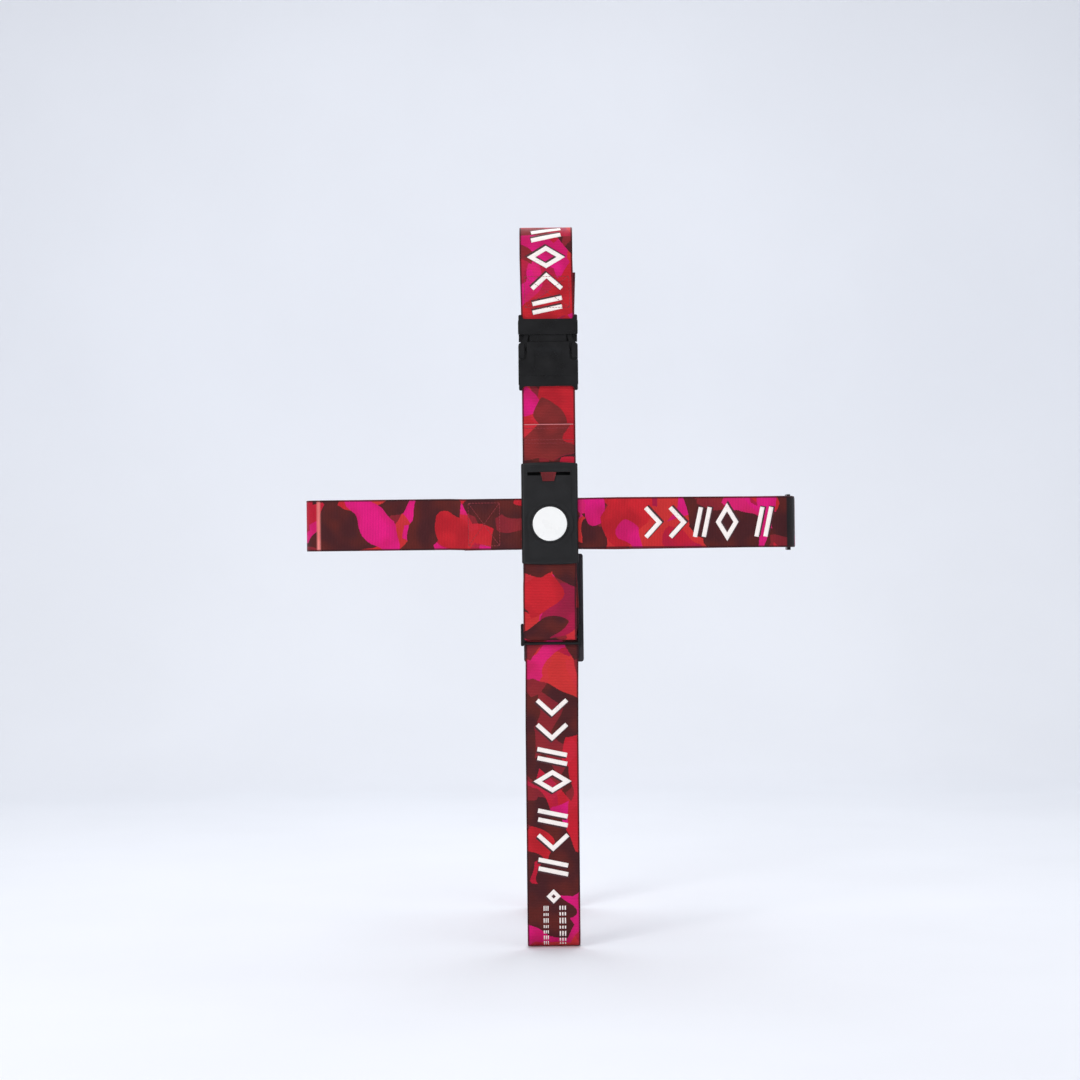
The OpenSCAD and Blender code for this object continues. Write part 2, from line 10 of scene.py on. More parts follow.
import bmesh
import bpy
import numpy as np
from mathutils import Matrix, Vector


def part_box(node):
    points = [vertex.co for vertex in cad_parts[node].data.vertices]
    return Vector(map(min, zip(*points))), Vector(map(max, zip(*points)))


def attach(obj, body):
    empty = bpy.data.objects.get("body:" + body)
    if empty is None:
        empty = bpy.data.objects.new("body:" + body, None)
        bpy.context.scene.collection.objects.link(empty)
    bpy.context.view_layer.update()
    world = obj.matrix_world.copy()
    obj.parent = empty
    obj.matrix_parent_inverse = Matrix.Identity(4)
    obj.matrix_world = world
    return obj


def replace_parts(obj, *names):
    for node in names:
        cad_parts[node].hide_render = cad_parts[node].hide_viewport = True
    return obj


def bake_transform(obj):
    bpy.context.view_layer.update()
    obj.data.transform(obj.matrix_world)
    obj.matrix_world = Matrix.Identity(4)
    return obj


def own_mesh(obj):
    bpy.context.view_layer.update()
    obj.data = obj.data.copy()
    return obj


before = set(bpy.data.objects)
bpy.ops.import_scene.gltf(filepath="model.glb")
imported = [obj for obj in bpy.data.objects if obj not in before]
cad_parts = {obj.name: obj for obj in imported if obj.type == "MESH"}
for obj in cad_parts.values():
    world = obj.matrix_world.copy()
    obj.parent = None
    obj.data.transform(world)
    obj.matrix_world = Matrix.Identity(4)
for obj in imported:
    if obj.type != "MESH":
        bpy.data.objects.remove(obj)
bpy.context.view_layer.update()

MM = 0.001

# ---------- Sizes that the frame doesn't give ----------
BELT_T = 1.4
HALF_T = BELT_T / 2
LAYER = BELT_T + 0.2  # from one layer's middle to the next
EDGE_R = 18  # radius of the suitcase's edges
EDGE_BEND = EDGE_R + HALF_T
EASE_R = 30  # radius where a belt lifts off the suitcase
RUN_STEP = 3
ARC_STEP = math.radians(5)
RIPPLE = 0.13  # height of the webbing's small waves
FREE_RUN = 70  # how far from a bend the waves reach their full height
YARN_W = 1.05  # a yarn's visible width and length in the webbing's weave
YARN_L = 1.5
PRINT_W = 4.3  # width of a printed stroke
PRINT_LIFT = 0.1
THREAD_R = 0.21
STITCH = 2.9  # from one stitch to the next


def box_mm(node):
    low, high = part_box(node)
    return np.array(low) / MM, np.array(high) / MM


def middle_mm(node):
    low, high = box_mm(node)
    return (low + high) / 2


vertical_low, vertical_high = box_mm("vertical_belt")
side_low, side_high = box_mm("horizontal_belt")
VERTICAL_HALF = (vertical_high[0] - vertical_low[0]) / 2
SIDE_HALF = (side_high[2] - side_low[2]) / 2
case_top = vertical_high[2] - BELT_T
case_low = vertical_low[2] + BELT_T
case_back = vertical_high[1] - BELT_T
case_x = -side_low[0] - BELT_T

# Pins and bars that hold the webbing; a bar is set off from the edges of its part
top_pin = middle_mm("top_pin")
bottom_pin = middle_mm("bottom_pin")
right_pin = middle_mm("right_pin")
pin_low, pin_high = box_mm("right_pin")
PIN_BEND = (pin_high[0] - pin_low[0]) / 2 + 0.2 + HALF_T
tongue_bar = [box_mm("belt_tongue")[0][0] + 2.2, right_pin[1]]

socket_low, socket_high = box_mm("buckle_socket")
plug_high = box_mm("buckle_plug")[1]
BUCKLE_BAR_Y = socket_high[1] - 5.5
socket_bar = [BUCKLE_BAR_Y, socket_low[2] + 6.5]
plug_bar = [BUCKLE_BAR_Y, plug_high[2] - 5.8]

housing_low = box_mm("housing_front")[0]
lower_slider = middle_mm("vertical_slider")
side_slider = middle_mm("horizontal_slider")
slider_low, slider_high = box_mm("vertical_slider")
side_slider_low, side_slider_high = box_mm("horizontal_slider")
BAR_PITCH = 10.4  # from a slider's middle bar to the bar on the coupler's side
RAIL_OVER = 2.5  # how far a slider's rails reach past its bars
UNDER_BAR = (slider_high[1] - slider_low[1]) / 2 + HALF_T
LOWER_EASE = 85  # from the lower slider to where its belt lifts off the suitcase
SIDE_EASE = 60  # the same for the side slider

SIDE_LIFT = 42  # from the side slider's near bar to where the webbing meets the suitcase again
RIGHT_LIFT_X = 65  # where the right run lifts off the suitcase towards its pin
LOWER_TAIL = 18  # loose end past the lower slider's bar
SIDE_TAIL = 16  # loose end past the side slider's bar
FOLD_Z = 241  # end of the webbing sewn back above the plug
FOLD_X = 82  # end of the webbing sewn back beside the tongue
FOLD_Y = -0.9  # depth of a sewn fold's inner layer
LAP = [75, 96]  # heights of the link's sewn lap
LAP_Y = -7.3  # depth of its inner layer


# ---------- Routes and ribbons ----------

def left_of(angle):
    return np.array([-math.sin(angle), math.cos(angle)])


def run_angle(a, b):
    """Direction of the straight run between two guides [x, y, r]; a belt bends left where r > 0."""
    gap = np.subtract(b[:2], a[:2])
    return math.atan2(gap[1], gap[0]) - math.asin((b[2] - a[2]) / math.hypot(*gap))


def turn_between(start, end, r):
    turn = math.remainder(end - start, math.tau)
    if r > 0 and turn < 0:
        return turn + math.tau
    if r < 0 and turn > 0:
        return turn - math.tau
    return turn


class Belt:
    """A ribbon along a route; `world` turns a point in the route's plane and a place across to x, y, z."""

    def __init__(self, stops, half, world):
        self.half = half
        self.world = world
        self.corners = []  # where each stop's bend starts and ends, along the belt
        points, angles = self._follow(stops)
        self.points = np.array(points)
        self.angles = np.array(angles)
        steps = np.hypot(*np.diff(self.points, axis=0).T)
        self.s = np.concatenate([[0], np.cumsum(steps)])
        self.corners = [(self.s[a], self.s[b]) for a, b in self.corners]
        self.length = self.s[-1]
        self.sway([(0, 0)])

    def _follow(self, stops):
        """Points and headings along the stops, with each stop's first and last point in corners."""
        points, angles = [], []
        runs = [run_angle(a, b) for a, b in zip(stops, stops[1:])]
        heading = runs[0]
        for i, stop in enumerate(stops):
            centre, r = np.array(stop[:2], float), stop[2]
            self._add_run(points, angles, centre - r * left_of(heading), heading)
            first = len(points) - 1
            turn = turn_between(heading, runs[i], r) if 0 < i < len(stops) - 1 else 0
            count = max(1, math.ceil(abs(turn) / ARC_STEP)) if r else 0
            for k in range(1, count + 1):
                angle = heading + turn * k / count
                points.append(centre - r * left_of(angle))
                angles.append(angle)
            heading += turn
            self.corners.append((first, len(points) - 1))
        return points, angles

    @staticmethod
    def _add_run(points, angles, end, angle):
        """Adds the end of a straight run, and the points on its way there."""
        start = points[-1] if points else end
        count = max(1, math.ceil(np.hypot(*(end - start)) / RUN_STEP))
        for k in range(1, count):
            points.append(start + (end - start) * k / count)
            angles.append(angle)
        points.append(end)
        angles.append(angle)

    def sway(self, shifts):
        """Sets how far the belt sits to one side, as (place along it, shift) from end to end."""
        self.sway_at = [s for s, _ in shifts]
        self.sway_by = [shift for _, shift in shifts]

    def where(self, axis, value, start, end):
        """Place along the belt between corners start and end where the route's coordinate is value."""
        inside = (self.s >= self.corners[start][1]) & (self.s <= self.corners[end][0])
        s, line = self.s[inside], self.points[inside][:, axis]
        if line[0] > line[-1]:
            s, line = s[::-1], line[::-1]
        return float(np.interp(value, line, s))

    def freedom(self, s):
        """0 on a bend and 1 in the middle of a long free run."""
        near = np.full(np.shape(s), 1e9)
        for a, b in self.corners:
            near = np.minimum(near, np.maximum(np.maximum(a - s, s - b), 0))
        return np.clip(near / FREE_RUN, 0, 1)

    def ripple(self, s, across):
        """Small waves and cupping of the free runs."""
        wave = np.sin(s / 31 + across / 17) + 0.7 * np.sin(s / 19 - across / 11 + 2)
        cup = 0.9 * np.cos(math.pi * across / (2 * self.half)) * np.sin(s / 83 + 1)
        return RIPPLE * self.freedom(s) * (wave + cup)

    def place(self, s, across, lift):
        """World points, in millimetres, of places on the belt."""
        s, across, lift = np.broadcast_arrays(*(np.asarray(v, float) for v in (s, across, lift)))
        angle = np.interp(s, self.s, self.angles)
        off = lift + self.ripple(s, across)
        first = np.interp(s, self.s, self.points[:, 0]) - np.sin(angle) * off
        second = np.interp(s, self.s, self.points[:, 1]) + np.cos(angle) * off
        shift = np.interp(s, self.sway_at, self.sway_by)
        return np.stack(self.world(first, second, across + shift), axis=-1)


def upright(y, z, across):
    """World of a belt whose route is in the y, z plane."""
    return across, y, z


def level(x, y, across):
    """World of a belt whose route is in the x, y plane."""
    return x, y, across


def ribbon_profile(half, columns=18):
    """Outline of the webbing across its width, as (across, lift), with rounded selvedges."""
    flat = half - HALF_T * 0.9
    across = np.linspace(-flat, flat, columns)
    turns = np.radians([60, 25, 0, -25, -60])
    edge_a = [flat + 0.9 * HALF_T * math.cos(t) for t in turns]
    edge_l = [HALF_T * math.sin(t) for t in turns]
    top = [(a, HALF_T) for a in across]
    bottom = [(a, -HALF_T) for a in across[::-1]]
    right = list(zip(edge_a, edge_l))
    left = [(-a, -lift) for a, lift in right]
    return np.array(top + right + bottom + left)


def mesh_piece(name, points, faces, material, places=None):
    """A mesh object from points in millimetres; places are (s, across) a point, for its UV map."""
    mesh = bpy.data.meshes.new(name)
    mesh.from_pydata([tuple(p) for p in np.asarray(points) * MM], [], faces)
    mesh.polygons.foreach_set("use_smooth", [True] * len(mesh.polygons))
    if places is not None:
        corner = np.zeros(len(mesh.loops), int)
        mesh.loops.foreach_get("vertex_index", corner)
        flat = np.asarray(places)[corner][:, ::-1] * MM
        mesh.uv_layers.new(name="webbing").data.foreach_set("uv", flat.ravel())
    mesh.materials.append(material)
    mesh.validate()
    mesh.update()
    piece = bpy.data.objects.new(name, mesh)
    bpy.context.scene.collection.objects.link(piece)
    return piece


def tube_faces(rings, sides, closed=False):
    """Faces that join rings of points, with end caps unless the rings close on themselves."""
    faces = []
    for i in range(rings if closed else rings - 1):
        a, b = i * sides, (i + 1) % rings * sides
        for k in range(sides):
            n = (k + 1) % sides
            faces.append((a + k, b + k, b + n, a + n))
    if not closed:
        faces.append(tuple(range(sides)))
        faces.append(tuple(reversed(range((rings - 1) * sides, rings * sides))))
    return faces


def ribbon(name, belt, start, end, material, sealed=(False, False)):
    """A length of the belt. A sealed end is a cut one, melted so that it rounds off."""
    inside = belt.s[(belt.s > start + 0.6) & (belt.s < end - 0.6)]
    s = np.concatenate([[start, start + 0.35], inside, [end - 0.35, end]])
    size = np.ones(len(s))
    size[0] = 0.75 if sealed[0] else 1
    size[-1] = 0.75 if sealed[1] else 1
    profile = ribbon_profile(belt.half)
    along = np.repeat(s, len(profile))
    across = np.tile(profile[:, 0], len(s))
    lift = np.tile(profile[:, 1], len(s)) * np.repeat(size, len(profile))
    faces = tube_faces(len(s), len(profile))
    places = np.stack([along, across], axis=-1)
    return mesh_piece(name, belt.place(along, across, lift), faces, material, places)


class Sheet:
    """Collects printed strokes or stitches on a belt, to become one piece."""

    def __init__(self, belt, face=1):
        self.belt = belt
        self.face = face
        self.points, self.faces, self.places = [], [], []

    def add(self, places, lifts, sides, closed=False):
        """Adds a tube of rings, given as (s, across) a point and a lift a point."""
        places, first = np.asarray(places), sum(len(p) for p in self.points)
        spots = self.belt.place(places[:, 0], places[:, 1], np.asarray(lifts) * self.face)
        rings = tube_faces(len(places) // sides, sides, closed)
        self.points.append(spots)
        self.places.append(places)
        self.faces += [tuple(first + k for k in face) for face in rings]

    def stroke(self, corners, width, closed=False, lift=PRINT_LIFT):
        """A flat printed line through corners (s, across), mitred where it turns."""
        corners = np.array(corners, float)
        sides = mitres(corners, closed) * width / 2
        count = len(corners) if closed else len(corners) - 1
        across = np.array([-1, -0.97, -0.35, 0.35, 0.97, 1])
        heights = HALF_T + np.array([-0.25, lift, lift, lift, lift, -0.25])
        rings = []
        for i in range(count):
            n = (i + 1) % len(corners)
            steps = max(1, math.ceil(np.hypot(*(corners[n] - corners[i])) / 1.5))
            for k in range(steps):
                t = k / steps
                rings.append((corners[i] * (1 - t) + corners[n] * t, sides[i] * (1 - t) + sides[n] * t))
        if not closed:
            rings.append((corners[-1], sides[-1]))
        places = [spot + side * a for spot, side in rings for a in across]
        self.add(places, np.tile(heights, len(rings)), len(across), closed)

    def stitch(self, start, end, radius=THREAD_R):
        """One stitch: a thread that rises out of the webbing and goes back in."""
        start, end = np.array(start, float), np.array(end, float)
        beside = left_of(math.atan2(*(end - start)[::-1]))
        places, lifts = [], []
        for t in np.linspace(0, 1, 6):
            spot = start + (end - start) * t
            height = HALF_T - 0.1 + 0.26 * math.sin(math.pi * t) ** 0.5
            for turn in np.arange(6) * math.tau / 6:
                places.append(spot + beside * radius * 1.25 * math.cos(turn))
                lifts.append(height + radius * math.sin(turn))
        self.add(places, lifts, 6)

    def seam(self, corners, pitch=STITCH):
        """A row of stitches through corners (s, across)."""
        for a, b in zip(np.array(corners, float), np.array(corners[1:], float)):
            count = max(1, round(np.hypot(*(b - a)) / pitch))
            for k in range(count):
                self.stitch(a + (b - a) * (k + 0.12) / count, a + (b - a) * (k + 0.88) / count)

    def piece(self, name, material):
        places = np.concatenate(self.places)
        return mesh_piece(name, np.concatenate(self.points), self.faces, material, places)


def mitres(corners, closed):
    """For each corner, the sideways step that keeps a line's width round the turn."""
    ahead = np.roll(corners, -1, axis=0) - corners
    behind = corners - np.roll(corners, 1, axis=0)
    if not closed:
        ahead[-1] = behind[-1]
        behind[0] = ahead[0]
    normals = [np.stack([-d[:, 1], d[:, 0]], axis=-1) / np.hypot(*d.T)[:, None] for d in (ahead, behind)]
    total = normals[0] + normals[1]
    return 2 * total / (total ** 2).sum(axis=1)[:, None]


# ---------- The three belts ----------

def make_vertical_belt():
    """From the plug over the suitcase's top, back and bottom, through the slider and round a pin."""
    y = lower_slider[1]
    top_bar = slider_high[2] - RAIL_OVER
    z = top_bar - BAR_PITCH
    near, far = EDGE_R, case_back - EDGE_R
    high, low = case_top - EDGE_R, case_low + EDGE_R
    stops = [
        [FOLD_Y, FOLD_Z, 0], [*plug_bar, -PIN_BEND], [FOLD_Y, FOLD_Z, -LAYER],
        [-HALF_T - EASE_R, FOLD_Z + 14, EASE_R],
        [near, high, -EDGE_BEND], [far, high, -EDGE_BEND],
        [far, low, -EDGE_BEND], [near, low, -EDGE_BEND],
        [-HALF_T - EASE_R, z - LOWER_EASE, EASE_R],
        [y, z, UNDER_BAR + LAYER], [y, top_bar, -UNDER_BAR],
        [bottom_pin[1], bottom_pin[2], PIN_BEND],
        [y, top_bar, UNDER_BAR + 2 * LAYER], [y, z, UNDER_BAR], [y, top_bar, -UNDER_BAR - LAYER],
        [y - UNDER_BAR - 0.7, top_bar + LOWER_TAIL, 0],
    ]
    belt = Belt(stops, VERTICAL_HALF, upright)
    starts, ends = zip(*belt.corners)
    belt.sway([
        (belt.where(1, FOLD_Z, 0, 1), 1.5), (belt.where(1, FOLD_Z - 34, 0, 1), 0.3),
        (starts[2] - 36, -0.2),
        (ends[3], -1.1), (ends[5], 0), (starts[8], 0), (starts[9], 0.9), (ends[10] + 20, 1.6),
        (starts[11] - 14, 0), (ends[11] + 10, 0), (ends[11] + 24, -0.8), (starts[12], -0.9),
        (ends[14], -0.6),
    ])
    return belt


def make_link():
    """A loop round the socket's bar and the coupler's top pin, with its two ends sewn over each other."""
    outer = LAP_Y - LAYER
    stops = [
        [LAP_Y, LAP[0], 0], [LAP_Y - EASE_R, LAP[1] + 6, EASE_R],
        [*socket_bar, -PIN_BEND], [top_pin[1], top_pin[2], -PIN_BEND],
        [outer - EASE_R, LAP[0] - 1, EASE_R], [outer, LAP[1], 0],
    ]
    return Belt(stops, VERTICAL_HALF, upright)


def make_side_belt():
    """From the tongue round the suitcase, through the side slider and round the coupler's right pin."""
    bar_x = side_slider[0]
    near_bar = side_slider_low[1] + RAIL_OVER
    y = near_bar + BAR_PITCH
    edge_x, near, far = case_x - EDGE_R, EDGE_R, case_back - EDGE_R
    ease_x = case_x + HALF_T + EASE_R
    tail = [bar_x, near_bar, -UNDER_BAR - LAYER]
    tail_angle = run_angle(tail, [ease_x, near_bar - SIDE_LIFT, EASE_R - LAYER])
    tail_start = np.array(tail[:2]) - tail[2] * left_of(tail_angle)
    tail_end = tail_start - SIDE_TAIL * left_of(tail_angle + math.pi / 2)
    stops = [
        [-FOLD_X, FOLD_Y, 0], [*tongue_bar, -PIN_BEND], [-FOLD_X, FOLD_Y, -LAYER],
        [-FOLD_X - 14, -HALF_T - EASE_R, EASE_R],
        [-edge_x, near, -EDGE_BEND], [-edge_x, far, -EDGE_BEND],
        [-VERTICAL_HALF, case_back + HALF_T, -LAYER], [VERTICAL_HALF, case_back + HALF_T, -LAYER],
        [edge_x, far, -EDGE_BEND], [ease_x, y + SIDE_EASE, EASE_R],
        [bar_x, y, UNDER_BAR + LAYER], [bar_x, near_bar, -UNDER_BAR],
        [ease_x, near_bar - SIDE_LIFT, EASE_R], [edge_x, near, -EDGE_BEND],
        [RIGHT_LIFT_X, -HALF_T - EASE_R, EASE_R], [right_pin[0], right_pin[1], PIN_BEND],
        [RIGHT_LIFT_X, -HALF_T - EASE_R, LAYER - EASE_R], [edge_x, near, EDGE_BEND + LAYER],
        [ease_x, near_bar - SIDE_LIFT, 2 * LAYER - EASE_R],
        [bar_x, near_bar, UNDER_BAR + 2 * LAYER], [bar_x, y, UNDER_BAR], tail, [*tail_end, 0],
    ]
    belt = Belt(stops, SIDE_HALF, level)
    starts, ends = zip(*belt.corners)
    belt.sway([
        (starts[0], -0.4), (starts[1], 0), (starts[2], 0), (ends[3], 0.4), (ends[5], 0),
        (starts[12], 0.5), (ends[14], -0.6), (starts[15], 0), (ends[15], 0), (ends[16], 0.5),
        (ends[18], -0.5), (ends[21], 0),
    ])
    return belt


upright_belt = make_vertical_belt()
side_belt = make_side_belt()
link = make_link()


def link_patches():
    """Brick red over most of the link's front, with magenta and red beside the buckle."""
    high, low = link.where(1, 112, 1, 2), link.where(1, 78, 4, 5)
    return [
        ("red", 14, high, 30, 34, 0.2), ("magenta", -24, high + 9, 14, 18, -0.2),
        ("brick", -4, high - 10, 17, 23, 0.1), ("brick", -2, low, 40, 26, 0.3),
        ("red", 24, low + 10, 9, 18, -0.3),
    ]


def side_patches():
    """Patches on the horizontal belt's front runs."""
    left = side_belt.where(0, -150, 3, 4)
    right = side_belt.where(0, 190, 16, 17)
    return [
        ("maroon", 2, left + 55, 26, 20, 0.4), ("magenta", 0, left + 22, 46, 13, 0.5),
        ("maroon", -6, left - 22, 24, 18, -0.3), ("maroon", 12, left - 38, 22, 28, 0.2),
        ("red", -8, left - 52, 20, 14, 0.6),
        ("maroon", -12, right - 146, 20, 16, -0.4), ("magenta", 13, right - 142, 16, 14, 0.4),
        ("red", 4, right - 114, 34, 20, 0.3), ("magenta", -14, right - 112, 16, 10, -0.4),
        ("maroon", -12, right - 10, 22, 30, 0.2), ("magenta", 8, right + 14, 36, 9, 0.3),
    ]


def upright_patches():
    """Patches on the vertical belt's front, which darken towards its lower end."""
    low = upright_belt.where(1, -330, 7, 8)
    high = upright_belt.where(1, 225, 1, 2)
    doubled = upright_belt.where(1, -62, 11, 12)
    return [
        ("maroon", 8, low, 34, 26, 0.4), ("maroon", -14, low - 36, 30, 22, -0.3),
        ("red", -16, low + 22, 16, 20, 0.2), ("red", 6, high - 14, 34, 20, 0.3),
        ("magenta", -4, high + 34, 34, 13, -0.4), ("ruby", 12, doubled + 20, 22, 26, 0.2),
        ("maroon", -2, doubled + 36, 22, 12, -0.4), ("red", -12, doubled, 20, 24, 0.3),
        ("maroon", -8, doubled - 24, 30, 9, 0.1), ("maroon", 18, doubled - 16, 14, 16, -0.3),
    ]


def side_bands():
    """A painted highlight at the horizontal belt's left bend, and painted shade over a length at its right
    one.
    """
    return [
        ("pale", side_belt.corners[4][0] + 6.4, 1.5), ("black", side_belt.corners[17][0] + 24, 11.5),
    ]


# ---------- Materials ----------

def screen(red, green, blue):
    """A linear colour from its 0 to 255 values on a screen."""
    shares = [c / 255 for c in (red, green, blue)]
    return tuple(c / 12.92 if c <= 0.04045 else ((c + 0.055) / 1.055) ** 2.4 for c in shares) + (1,)


class Shader:
    """A node material and short ways to add its nodes."""

    def __init__(self, name):
        self.material = bpy.data.materials.new(name)
        self.material.use_nodes = True
        self.tree = self.material.node_tree
        self.tree.nodes.clear()

    def feed(self, socket, value):
        if isinstance(value, bpy.types.NodeSocket):
            self.tree.links.new(value, socket)
        else:
            socket.default_value = value

    def add(self, kind, inputs=None, **settings):
        node = self.tree.nodes.new("ShaderNode" + kind)
        for name, value in settings.items():
            setattr(node, name, value)
        for key, value in (inputs or {}).items():
            self.feed(node.inputs[key], value)
        return node

    def math(self, operation, a, b=0.0):
        return self.add("Math", {0: a, 1: b}, operation=operation).outputs[0]

    def mix(self, factor, a, b, blend="MIX"):
        return self.add("Mix", {0: factor, 6: a, 7: b}, data_type="RGBA", blend_type=blend).outputs[2]

    def shade(self, colour, factor):
        """Multiplies a colour by a number."""
        grey = self.add("CombineXYZ", {0: factor, 1: factor, 2: factor}).outputs[0]
        return self.mix(1.0, colour, grey, "MULTIPLY")

    def noise(self, vector, scale, detail=2.0, roughness=0.5):
        inputs = {"Vector": vector, "Scale": scale, "Detail": detail, "Roughness": roughness}
        return self.add("TexNoise", inputs).outputs[0]

    def span(self, value, low, high, to_low=0.0, to_high=1.0):
        """Smooth step from low to high, as to_low to to_high."""
        inputs = {0: value, 1: low, 2: high, 3: to_low, 4: to_high}
        return self.add("MapRange", inputs, interpolation_type="SMOOTHSTEP").outputs[0]

    def mapped(self, vector, size, turn=0.0, shift=(0, 0, 0)):
        """The vector in cells of the given size, turned and shifted."""
        inputs = {0: vector, 1: shift, 2: (0, 0, turn), 3: size}
        return self.add("Mapping", inputs, vector_type="TEXTURE").outputs[0]

    def bump(self, height, depth_mm):
        inputs = {"Height": height, "Distance": depth_mm * MM, "Strength": 1.0}
        return self.add("Bump", inputs).outputs[0]

    def surface(self, **inputs):
        """Ends the material with a Principled surface; underscores in a name stand for spaces."""
        named = {key.replace("_", " "): value for key, value in inputs.items()}
        lit = self.add("BsdfPrincipled", named)
        self.add("OutputMaterial", {0: lit.outputs[0]})
        return self.material


def weave_height(sh, uv, warp, pick):
    """Height of a plain weave: oval yarn humps, every other row shifted by half a yarn."""
    parts = sh.add("SeparateXYZ", {0: uv}).outputs
    row = sh.math("DIVIDE", parts[1], pick * MM)
    odd = sh.math("MULTIPLY", sh.math("MODULO", sh.math("FLOOR", row), 2.0), 0.5)
    column = sh.math("ADD", sh.math("DIVIDE", parts[0], warp * MM), odd)
    humps = []
    for value in (row, column):
        centred = sh.math("MULTIPLY_ADD", sh.math("FRACT", value), 2.0)
        centred.node.inputs[2].default_value = -1.0
        humps.append(sh.math("SUBTRACT", 1.0, sh.math("POWER", sh.math("ABSOLUTE", centred), 2.4)))
    return sh.math("MULTIPLY", humps[0], humps[1])


def patches(sh, vector, size, turn, seed, share):
    """1 inside angular patches of the printed pattern, which cover about `share` of it."""
    cells = sh.mapped(vector, (size[0] * MM, size[1] * MM, 1), turn, (seed * 0.113, seed * 0.071, 0))
    inputs = {"Vector": cells, "Scale": 1.0, "Randomness": 0.85}
    colour = sh.add("TexVoronoi", inputs, voronoi_dimensions="2D").outputs["Color"]
    value = sh.add("SeparateXYZ", {0: colour}).outputs[0]
    return sh.math("LESS_THAN", value, share)


# Tones of the print, and two tones of painted light and shade for the side belt's bends
PRINT_AND_PAINTED_LIGHT_TONES = {
    "magenta": (screen(226, 14, 124), screen(202, 10, 98)),
    "maroon": (screen(94, 29, 25), screen(70, 22, 27)),
    "red": (screen(204, 28, 42), screen(180, 20, 36)),
    "ruby": (screen(170, 16, 66), screen(148, 18, 58)),
    "brick": (screen(138, 38, 38), screen(116, 34, 34)),
    # Not print: painted shade for the side belt's right bend
    "black": (screen(36, 26, 28), screen(28, 24, 26)),
    # Not print: a painted highlight for the side belt's left bend
    "pale": (screen(240, 136, 132), screen(232, 120, 116)),
}


def placed_patches(sh, bent, soft, colour, placed):
    """Adds leaf-shaped patches, given as (tone, across, along, half width, half length, turn)."""
    for tone, across, along, half_w, half_l, turn in placed:
        size = (half_w * MM, half_l * MM, 1)
        spot = sh.mapped(bent, size, turn, (across * MM, along * MM, 0))
        parts = sh.add("SeparateXYZ", {0: spot}).outputs
        reach = sh.math("ADD", sh.math("ABSOLUTE", parts[0]), sh.math("POWER", parts[1], 2.0))
        colour = sh.mix(sh.math("LESS_THAN", reach, 1.0), colour, sh.mix(soft, *PRINT_AND_PAINTED_LIGHT_TONES[tone]))
    return colour


def cross_bands(sh, uv, soft, colour, bands):
    """Adds soft-edged bands of painted light and shade right across the belt, given as (tone, along, half
    length).
    """
    along = sh.add("SeparateXYZ", {0: uv}).outputs[1]
    for tone, middle, half in bands:
        off = sh.math("ABSOLUTE", sh.math("SUBTRACT", along, middle * MM))
        inside = sh.span(off, (half - 0.9) * MM, (half + 1.3) * MM, 1.0, 0.0)
        colour = sh.mix(inside, colour, sh.mix(soft, *PRINT_AND_PAINTED_LIGHT_TONES[tone]))
    return colour


def wander(sh, vector, scale, detail, reach_mm):
    """A sideways step that changes from place to place, by up to about half its reach."""
    swirl = sh.add("TexNoise", {"Vector": vector, "Scale": scale, "Detail": detail}).outputs[1]
    step = sh.add("VectorMath", {0: swirl, 1: (0.5, 0.5, 0.5)}, operation="SUBTRACT").outputs[0]
    return sh.add("VectorMath", {0: step, "Scale": reach_mm * MM}, operation="SCALE").outputs[0]


def print_and_bend_light_colours(sh, uv, seed, dark, pink, placed, bands):
    """Overlapping magenta, red, orange and maroon patches with curved, slightly frayed sides, and bands of
    painted light and shade across the belt at its bends.
    """
    shift = sh.add("CombineXYZ", {0: seed * 0.37, 1: seed * 0.53, 2: 0.0}).outputs[0]
    flat = sh.add("VectorMath", {0: uv, 1: shift}, operation="ADD").outputs[0]
    bend = wander(sh, flat, 26.0, 0.5, 34)
    frayed = wander(sh, flat, 850.0, 0.0, 0.9)
    bend = sh.add("VectorMath", {0: bend, 1: frayed}, operation="ADD").outputs[0]
    bent = sh.add("VectorMath", {0: flat, 1: bend}, operation="ADD").outputs[0]
    bent_here = sh.add("VectorMath", {0: uv, 1: bend}, operation="ADD").outputs[0]
    soft = sh.span(sh.noise(flat, 34.0, 1.0), 0.38, 0.62)
    slow = sh.span(sh.noise(flat, 13.0, 0.0), 0.35, 0.65)
    colour = sh.mix(slow, screen(196, 22, 42), screen(206, 46, 46))
    ruby = sh.mix(soft, screen(170, 14, 62), screen(190, 18, 48))
    colour = sh.mix(patches(sh, bent, (26, 44), 0.5, seed + 1, 0.34), colour, ruby)
    magenta = sh.mix(soft, *PRINT_AND_PAINTED_LIGHT_TONES["magenta"])
    colour = sh.mix(patches(sh, bent, (20, 38), -0.6, seed + 2, pink), colour, magenta)
    maroon = sh.mix(soft, *PRINT_AND_PAINTED_LIGHT_TONES["maroon"])
    colour = sh.mix(patches(sh, bent, (24, 40), 0.85, seed + 3, dark), colour, maroon)
    glaze = sh.math("MULTIPLY", patches(sh, bent, (18, 30), -0.3, seed + 4, 0.3), 0.3)
    colour = sh.mix(glaze, colour, screen(206, 40, 64))
    colour = placed_patches(sh, bent_here, soft, colour, placed)
    return cross_bands(sh, uv, soft, colour, bands)


